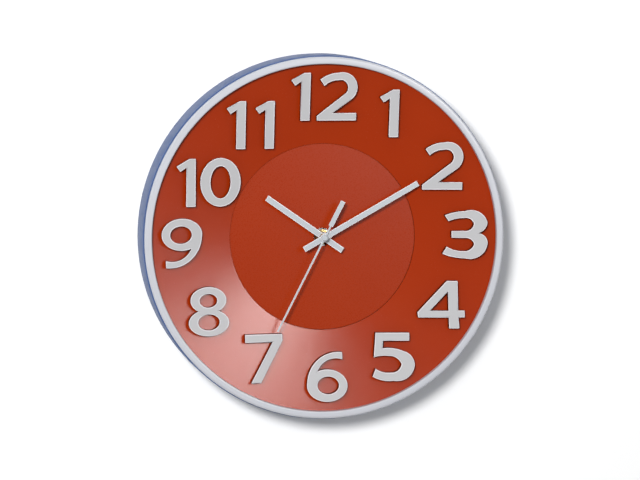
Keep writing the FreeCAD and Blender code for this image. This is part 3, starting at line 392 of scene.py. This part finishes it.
def turned(name: str, axis: Vector, corners: list[Corner], sides: int = 160) -> bpy.types.Object:
    """Turn a closed ring from its section, by drawing a circle out loop by loop.

    Args:
        name: The piece's name.
        axis: A point on the axis, which runs along y.
        corners: Radius and y of each corner of the section, in order round it.
        sides: Faces round the ring.

    Returns:
        The turned piece.
    """
    first_radius, first_y = corners[0]
    bpy.ops.object.select_all(action="DESELECT")
    bpy.ops.mesh.primitive_circle_add(
        vertices=sides, radius=first_radius, location=(axis.x, first_y, axis.z),
        rotation=(math.radians(90), 0, 0),
    )
    piece = bpy.context.active_object
    piece.name = name
    settle(piece)
    bpy.ops.object.mode_set(mode="EDIT")
    bpy.ops.mesh.select_mode(type="VERT")
    bpy.ops.mesh.select_all(action="SELECT")
    radius, depth = first_radius, first_y
    for next_radius, next_depth in corners[1:] + corners[:1]:
        bpy.ops.mesh.extrude_region_move()
        share = next_radius / radius
        bpy.ops.transform.resize(value=(share, 1, share), center_override=(axis.x, depth, axis.z))
        bpy.ops.transform.translate(value=(0, next_depth - depth, 0))
        radius, depth = next_radius, next_depth
    bpy.ops.object.mode_set(mode="OBJECT")
    merge(piece)
    return piece


def bar(name: str, low: Vector, high: Vector) -> bpy.types.Object:
    """Add a straight bar between two opposite corners."""
    bpy.ops.object.select_all(action="DESELECT")
    bpy.ops.mesh.primitive_cube_add(size=1, location=(low + high) / 2, scale=high - low)
    piece = bpy.context.active_object
    piece.name = name
    settle(piece)
    return piece


def puck(name: str, centre: Vector, radius: float, thick: float, sides: int = 64) -> bpy.types.Object:
    """Add a short round piece whose axis runs along y."""
    bpy.ops.object.select_all(action="DESELECT")
    bpy.ops.mesh.primitive_cylinder_add(
        vertices=sides, radius=radius, depth=thick, location=centre, rotation=(math.radians(90), 0, 0),
    )
    piece = bpy.context.active_object
    piece.name = name
    settle(piece)
    return piece


def double(node: str, name: str) -> bpy.types.Object:
    """Copy a solid of the frame with its own shading, as a piece of its own.

    Args:
        node: The solid's name.
        name: The piece's name.

    Returns:
        The copy, which rides on nothing yet.
    """
    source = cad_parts[node]
    piece = source.copy()
    piece.data = source.data.copy()
    piece.name = name
    for key in list(piece.keys()):
        del piece[key]
    piece.parent = None
    bpy.context.scene.collection.objects.link(piece)
    return piece


def twin(node: str, name: str) -> bpy.types.Object:
    """Copy a solid of the frame and clean its mesh, ready to be softened.

    Args:
        node: The solid's name.
        name: The piece's name.

    Returns:
        The cleaned copy, which rides on nothing yet.
    """
    piece = double(node, name)
    clean(piece)
    return piece


@dataclass(frozen=True)
class MouldedPart:
    """A moulded part whose edges are softened all round.

    Attributes:
        node: The solid that it is made from.
        name: The piece's name.
        edge: Width of the softened edges.
        finish: Its finish.
        slot: The record's material slot; not used.
        body: The body that it rides on.
    """

    node: str
    name: str
    edge: float
    finish: Finish
    slot: str
    body: str = "clock"

    def build(self) -> None:
        """Copy the solid, soften it and dress it."""
        piece = twin(self.node, self.name)
        soften(piece, self.edge)
        dress(piece, self.finish)
        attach(piece, self.body)
        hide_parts(self.node)
        LOG.info("%s: %d faces", piece.name, len(piece.data.polygons))


MOULDED_PARTS = (
    MouldedPart("case", "case_shell", 0.4 * MM, CASE_BLUE, "case_plastic"),
    MouldedPart("movement_housing", "movement_box", 0.25 * MM, MOVEMENT_BLACK, "movement_plastic"),
    MouldedPart("movement_front_cover", "movement_lid", 0.25 * MM, MOVEMENT_BLACK, "movement_plastic"),
    MouldedPart("bush_nut", "hub_nut", 0.3 * MM, BRASS, "brass"),
    MouldedPart("set_knob", "setting_knob", 0.12 * MM, WHEEL_WHITE, "wheel_plastic", "knob_set"),
)


@dataclass
class DialDish:
    """The dial's dish, with painted shade on the steep sides of its twelve raised numerals: a deeper red that
    stands in for the shade on those walls.

    Attributes:
        steep: Largest share of a face's slant towards the front at which it counts as a side.
    """

    steep: float = 0.5

    def build(self) -> None:
        """Copy the solid, dress its slope and paint shade on its steep sides."""
        piece = double("dial", "dial_dish")
        piece.data.materials.clear()
        for finish in (DIAL_RED, NUMERAL_WALL_SHADE):
            piece.data.materials.append(finish.material())
        # Steep faces, the numerals' walls among them, get the painted shade.
        for face in piece.data.polygons:
            face.material_index = int(abs(face.normal.y) < self.steep)
        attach(piece, "clock")
        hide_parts("dial")
        LOG.info("dial_dish: %d faces", len(piece.data.polygons))


@dataclass
class DialDisc:
    """The flat disc in the middle of the dial, with a fine rolled edge.

    Attributes:
        gap: How far the disc reaches past its solid, to close the line round it.
        roll: Width of its rolled edge.
        softness: Width of the rounding along that edge.
    """

    gap: float = 0.06 * MM
    roll: float = 0.12 * MM
    softness: float = 0.08 * MM

    def build(self) -> None:
        """Turn the disc and dress it."""
        low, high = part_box("dial_disc")
        outer = (high.x - low.x) / 2 + self.gap
        nut_low, nut_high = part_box("bush")
        inner = (nut_high.x - nut_low.x) / 2
        piece = turned("disc_plate", (low + high) / 2, [
            (inner, high.y), (outer, high.y), (outer, low.y + self.roll),
            (outer - self.roll, low.y), (inner, low.y),
        ])
        soften(piece, self.softness, angle=20)
        for face in piece.data.polygons:
            face.use_smooth = abs(face.normal.y) < FLAT_FACING
        dress(piece, DISC_RED)
        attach(piece, "clock")
        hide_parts("dial_disc")
        LOG.info("disc_plate: %d faces", len(piece.data.polygons))


@dataclass
class DryCell:
    """The battery: a wrapped can with rolled ends, a steel base and a raised tip.

    Attributes:
        can: Radius of the bare can at its ends.
        wrap: Share of the length, from the base, that the dark wrap covers.
        core: Radius of the dimple in the middle of each end.
        dish: Width of the rolled edge of the base.
        lip: Width and depth of the wrap's turned-in edge.
        rise: How far each end stands out of the wrap.
        wrap_start: Where the wrap's full radius starts.
        neck: How far inside the can's edge the shoulder round the tip ends.
        tip: Radii of the tip, from its foot to its end.
        tip_height: Height of the tip.
        tip_edge: Height of the tip's rounded end.
        rim_share: How far inside the full radius a face still counts as the side.
    """

    can: float = 6.6 * MM
    wrap: float = 0.68
    core: float = 0.4 * MM
    dish: float = 0.6 * MM
    lip: float = 0.35 * MM
    rise: float = 0.3 * MM
    wrap_start: float = 0.7 * MM
    neck: float = 1 * MM
    tip: tuple[float, float, float] = (2.9 * MM, 2.7 * MM, 2.4 * MM)
    tip_height: float = 1.3 * MM
    tip_edge: float = 0.2 * MM
    rim_share: float = 0.5 * MM

    def build(self) -> None:
        """Turn the cell about its own length, then dress its wrap, band and ends."""
        low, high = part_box("battery")
        radius = (high.z - low.z) / 2
        axis = Vector((0, 0, 0))
        length = high.x - low.x
        shoulder = length - self.tip_height
        foot, bulge, end = self.tip
        piece = turned("cell", axis, [
            (self.core, 0), (self.can - self.dish, 0), (self.can, self.rise), (radius - self.lip, self.rise),
            (radius, self.wrap_start), (radius, length * self.wrap), (radius, shoulder - self.wrap_start),
            (radius - self.lip, shoulder - self.rise), (self.can - self.neck, shoulder - self.rise),
            (foot, shoulder), (bulge, length - self.tip_edge), (end, length), (self.core, length),
        ], sides=64)
        only(piece)
        bpy.ops.object.shade_smooth_by_angle(angle=math.radians(25))
        piece.data.materials.clear()
        for finish in (CELL_WRAP, CELL_BAND, STEEL):
            piece.data.materials.append(finish.material())
        for face in piece.data.polygons:
            away = math.hypot(face.center.x, face.center.z)
            on_side = away > radius - self.rim_share
            face.material_index = (face.center.y > length * self.wrap) if on_side else 2
        piece.rotation_euler = (0, 0, math.radians(-90))
        piece.location = Vector((low.x, (low.y + high.y) / 2, (low.z + high.z) / 2))
        settle(piece)
        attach(piece, "clock")
        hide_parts("battery")
        LOG.info("cell: %d faces", len(piece.data.polygons))


@dataclass
class NumeralFaces:
    """The twelve flat silver numeral plates with their softened edges, a painted highlight along their rims
    and painted shade on their sides.

    Attributes:
        edge: Width of the softened edges.
        border: Width of the rim painted lighter as a painted highlight.
        step: How far the middle lies below the rim.
    """

    edge: float = 0.12 * MM
    border: float = 0.6 * MM
    step: float = 0.04 * MM

    def build(self) -> None:
        """Make each plate from its solid, soften it and dress it."""
        for node in NUMERALS:
            piece = twin(node, node.replace("numeral", "numeral_plate"))
            soften(piece, self.edge)
            # The rim gets the painted highlight, and the sides get the painted shade.
            rim(piece, self.border, self.step, NUMERAL_SILVER, NUMERAL_EDGE_HIGHLIGHT, NUMERAL_WALL_SHADE)
            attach(piece, "clock")
            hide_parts(node)
            LOG.info("%s: %d faces", piece.name, len(piece.data.polygons))


@dataclass
class FrontRing:
    """The narrow silver ring round the dial, with a rolled outer edge and a thin inner lip.

    Attributes:
        band: Width of the ring.
        roll: Width of the rolled outer edge.
        inner_roll: Width of the rolled inner edge.
        softness: Width of the rounding between its faces.
    """

    band: float = 6 * MM
    roll: float = 1.5 * MM
    inner_roll: float = 0.7 * MM
    softness: float = 0.4 * MM

    def build(self) -> None:
        """Turn the ring and dress it."""
        low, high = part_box("front_ring")
        axis = (low + high) / 2
        outer = (high.x - low.x) / 2
        inner = outer - self.band
        piece = turned("ring_band", axis, [
            (inner, high.y),
            (outer, high.y),
            (outer, low.y + self.roll),
            (outer - self.roll / 3, low.y + self.roll / 3),
            (outer - self.roll, low.y),
            (inner + self.inner_roll, low.y),
            (inner, low.y + self.inner_roll),
        ], sides=192)
        soften(piece, self.softness, steps=3, angle=20)
        dress(piece, RING_SILVER)
        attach(piece, "clock")
        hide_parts("front_ring")
        LOG.info("ring_band: %d faces", len(piece.data.polygons))


class HandShape(Enum):
    """Which of the three hands a blade is for: its node, its body and its angle past twelve, in degrees."""

    HOUR = ("hour_hand", "hour_hand_set", 305.0)
    MINUTE = ("minute_hand", "minute_hand_set", 60.5)
    SECOND = ("second_hand", "second_hand_set", 207.0)


@dataclass
class Hand:
    """One pressed metal hand, with its blade, tail and hub softened at their edges, and a painted highlight
    on its rim and sides.

    Attributes:
        shape: Which hand it is.
        reach: Length from the hub to the tip.
        tail: Length behind the hub.
        width: Width of the blade.
        hub: Radius of the round part at the hub.
        bore: Radius of the hole at the hub, where the collet or tube passes.
        weight: Start, end and width of the broad part of the tail, or None.
        softness: Width of the rounding of its edges.
        border_share: Width of the rim painted lighter as a painted highlight, as a share of the blade's.
        step: How far the middle lies below the rim.
    """

    shape: HandShape
    reach: float
    tail: float
    width: float
    hub: float
    bore: float
    weight: tuple[float, float, float] | None = None
    softness: float = 0.1 * MM
    border_share: float = 1 / 6
    step: float = 0.04 * MM

    def build(self) -> None:
        """Cut out the hand, turn it to its place and dress it."""
        node, body, angle = self.shape.value
        low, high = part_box(node)
        axis = hub_axis()
        half = Vector((self.width / 2, 0, 0))
        piece = bar(f"{node}_blade", Vector((axis.x, low.y, axis.z - self.tail)) - half,
                    Vector((axis.x, high.y, axis.z + self.reach)) + half)
        middle = Vector((axis.x, (low.y + high.y) / 2, axis.z))
        unite(piece, puck("hub", middle, self.hub, high.y - low.y))
        if self.weight is not None:
            start, end, width = self.weight
            half = Vector((width / 2, 0, 0))
            unite(piece, bar("weight", Vector((axis.x, low.y, axis.z - end)) - half,
                             Vector((axis.x, high.y, axis.z - start)) + half))
        clean(piece)
        cut(piece, puck("bore", middle, self.bore, 3 * (high.y - low.y)))
        only(piece)
        bpy.context.scene.cursor.location = axis
        bpy.ops.object.origin_set(type="ORIGIN_CURSOR")
        piece.rotation_euler = (0, math.radians(angle), 0)
        settle(piece)
        merge(piece)
        soften(piece, self.softness)
        # The rim and sides take the painted highlight.
        rim(piece, self.width * self.border_share, self.step, HAND_GREY, HAND_EDGE_HIGHLIGHT, HAND_EDGE_HIGHLIGHT)
        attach(piece, body)
        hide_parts(node)
        LOG.info("%s: %d faces", piece.name, len(piece.data.polygons))


HANDS = (
    Hand(HandShape.HOUR, reach=58 * MM, tail=19.4 * MM, width=5 * MM, hub=3.9 * MM, bore=3.4 * MM),
    Hand(HandShape.MINUTE, reach=90.5 * MM, tail=19.4 * MM, width=4.7 * MM, hub=3.1 * MM, bore=2.6 * MM),
    Hand(HandShape.SECOND, reach=87 * MM, tail=34 * MM, width=1.5 * MM, hub=2.9 * MM, bore=1.1 * MM,
         weight=(11 * MM, 34 * MM, 3.9 * MM)),
)


@dataclass(frozen=True)
class Lamp:
    """A round soft light that points at the clock.

    Attributes:
        name: Its name.
        offset: Its place, from the clock's centre.
        width: Its width.
        power: Its power in watts.
        glossy: Whether it shows in gloss.
        diffuse: Whether it lights matt surfaces.
    """

    name: str
    offset: Colour
    width: float
    power: float
    glossy: bool = True
    diffuse: bool = True

    def hang(self, centre: Vector) -> None:
        """Hang the light and aim it at the clock.

        Args:
            centre: The clock's centre.
        """
        offset = Vector(self.offset)
        lamp = bpy.data.lights.new(self.name, "AREA")
        lamp.shape = "DISK"
        lamp.size = self.width
        lamp.energy = self.power
        holder = bpy.data.objects.new(self.name, lamp)
        holder.location = centre + offset
        holder.rotation_euler = (-offset).to_track_quat("-Z", "Y").to_euler()
        holder.visible_glossy = self.glossy
        holder.visible_diffuse = self.diffuse
        bpy.context.scene.collection.objects.link(holder)


@dataclass
class Studio:
    """The pale wall, the soft lights and the camera.

    Attributes:
        turn: Camera's angle to the left of straight ahead, in degrees.
        rise: Camera's angle above the horizon, in degrees.
        lens: Focal length in millimetres.
        distance: Distance from the camera to the dial.
        aim: How far right of and above the frame's middle the dial's centre stands.
        wall_gap: Gap between the clock's back and the wall.
        wall_lap: How far the clock's edge laps over the opening in the wall.
        wall_reach: Radius of the wall.
        wall_paint: The wall's colour and roughness.
        room_light: Strength of the even light from all round.
        lights: The lights.
    """

    turn: float = -8.6
    rise: float = 5.0
    lens: float = 135.0
    distance: float = 1.981
    aim: tuple[float, float] = (5.29 * MM, 0.875 * MM)
    wall_gap: float = 0.6 * MM
    wall_lap: float = 6 * MM
    wall_reach: float = 3.0
    wall_paint: tuple[float, float] = (0.93, 0.9)
    room_light: float = 0.40
    lights: tuple[Lamp, ...] = (
        Lamp("key", (-0.62, -1.85, 0.50), 0.42, 36.0, glossy=False),
        Lamp("sheen", (0.70, -1.62, 0.45), 0.70, 24.0, diffuse=False),
        Lamp("top", (0.1, -0.9, 1.6), 0.9, 2.0),
        Lamp("left", (-1.7, -0.6, -0.1), 0.8, 1.5),
        Lamp("rear_left", (-0.9, 1.5, 0.8), 0.9, 16.0),
        Lamp("rear_right", (1.0, 1.5, 0.3), 0.9, 12.0),
    )

    def build(self) -> None:
        """Set up the whole studio."""
        self.wall()
        self.lamps()
        self.camera()

    def wall(self) -> None:
        """Stand a wide pale wall just behind the clock, open behind it so that its back shows."""
        low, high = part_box("case")
        opening = (high.x - low.x) / 2 - self.wall_lap
        centre = clock_centre() + Vector((0, self.wall_gap, 0))
        bpy.ops.object.select_all(action="DESELECT")
        bpy.ops.mesh.primitive_circle_add(vertices=128, radius=opening, location=centre,
                                          rotation=(math.radians(90), 0, 0))
        wall = bpy.context.active_object
        wall.name = "wall"
        settle(wall)
        share = self.wall_reach / opening
        bpy.ops.object.mode_set(mode="EDIT")
        bpy.ops.mesh.select_mode(type="VERT")
        bpy.ops.mesh.select_all(action="SELECT")
        bpy.ops.mesh.extrude_region_move()
        bpy.ops.transform.resize(value=(share, 1, share), center_override=centre)
        bpy.ops.object.mode_set(mode="OBJECT")
        paint = bpy.data.materials.new("wall_paint")
        paint.use_nodes = True
        shader = paint.node_tree.nodes["Principled BSDF"]
        grey, roughness = self.wall_paint
        shader.inputs["Base Color"].default_value = (grey, grey, grey, 1)
        shader.inputs["Roughness"].default_value = roughness
        wall.data.materials.append(paint)

    def lamps(self) -> None:
        """Hang the soft lights and light the room evenly."""
        centre = clock_centre()
        for lamp in self.lights:
            lamp.hang(centre)
        world = bpy.data.worlds.new("room")
        world.use_nodes = True
        sky = world.node_tree.nodes["Background"]
        sky.inputs["Color"].default_value = (1, 1, 1, 1)
        sky.inputs["Strength"].default_value = self.room_light
        bpy.context.scene.world = world
        world.cycles_visibility.glossy = False
        bpy.context.scene.view_settings.view_transform = "Standard"

    def camera(self) -> None:
        """Place the camera in front of the dial, a little left and above."""
        low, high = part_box("front_ring")
        centre = Vector(((low.x + high.x) / 2, low.y, (low.z + high.z) / 2))
        turn, rise = math.radians(self.turn), math.radians(self.rise)
        back = Vector((math.sin(turn) * math.cos(rise), -math.cos(turn) * math.cos(rise), math.sin(rise)))
        facing = (-back).to_track_quat("-Z", "Y")
        right, up = self.aim
        shift = facing @ Vector((-right, -up, 0))
        lens = bpy.data.cameras.new("camera")
        lens.lens = self.lens
        holder = bpy.data.objects.new("camera", lens)
        holder.location = centre + shift + back * self.distance
        holder.rotation_euler = facing.to_euler()
        bpy.context.scene.collection.objects.link(holder)
        bpy.context.scene.camera = holder


def dress_nodes() -> None:
    """Give every solid of the frame its finish."""
    for finish, nodes in NODE_FINISHES.items():
        for node in nodes:
            dress(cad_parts[node], finish)
    bare = sorted(set(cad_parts) - {node for nodes in NODE_FINISHES.values() for node in nodes})
    LOG.info("nodes with no finish: %s", bare)


def main() -> None:
    """Build the clock's looks round its frame."""
    logging.basicConfig(level=logging.INFO)
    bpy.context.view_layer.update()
    dress_nodes()
    NumeralFaces().build()
    DialDish().build()
    FrontRing().build()
    DialDisc().build()
    DryCell().build()
    for part in MOULDED_PARTS:
        part.build()
    for hand in HANDS:
        hand.build()
    Studio().build()


if __name__ == "__main__":
    main()
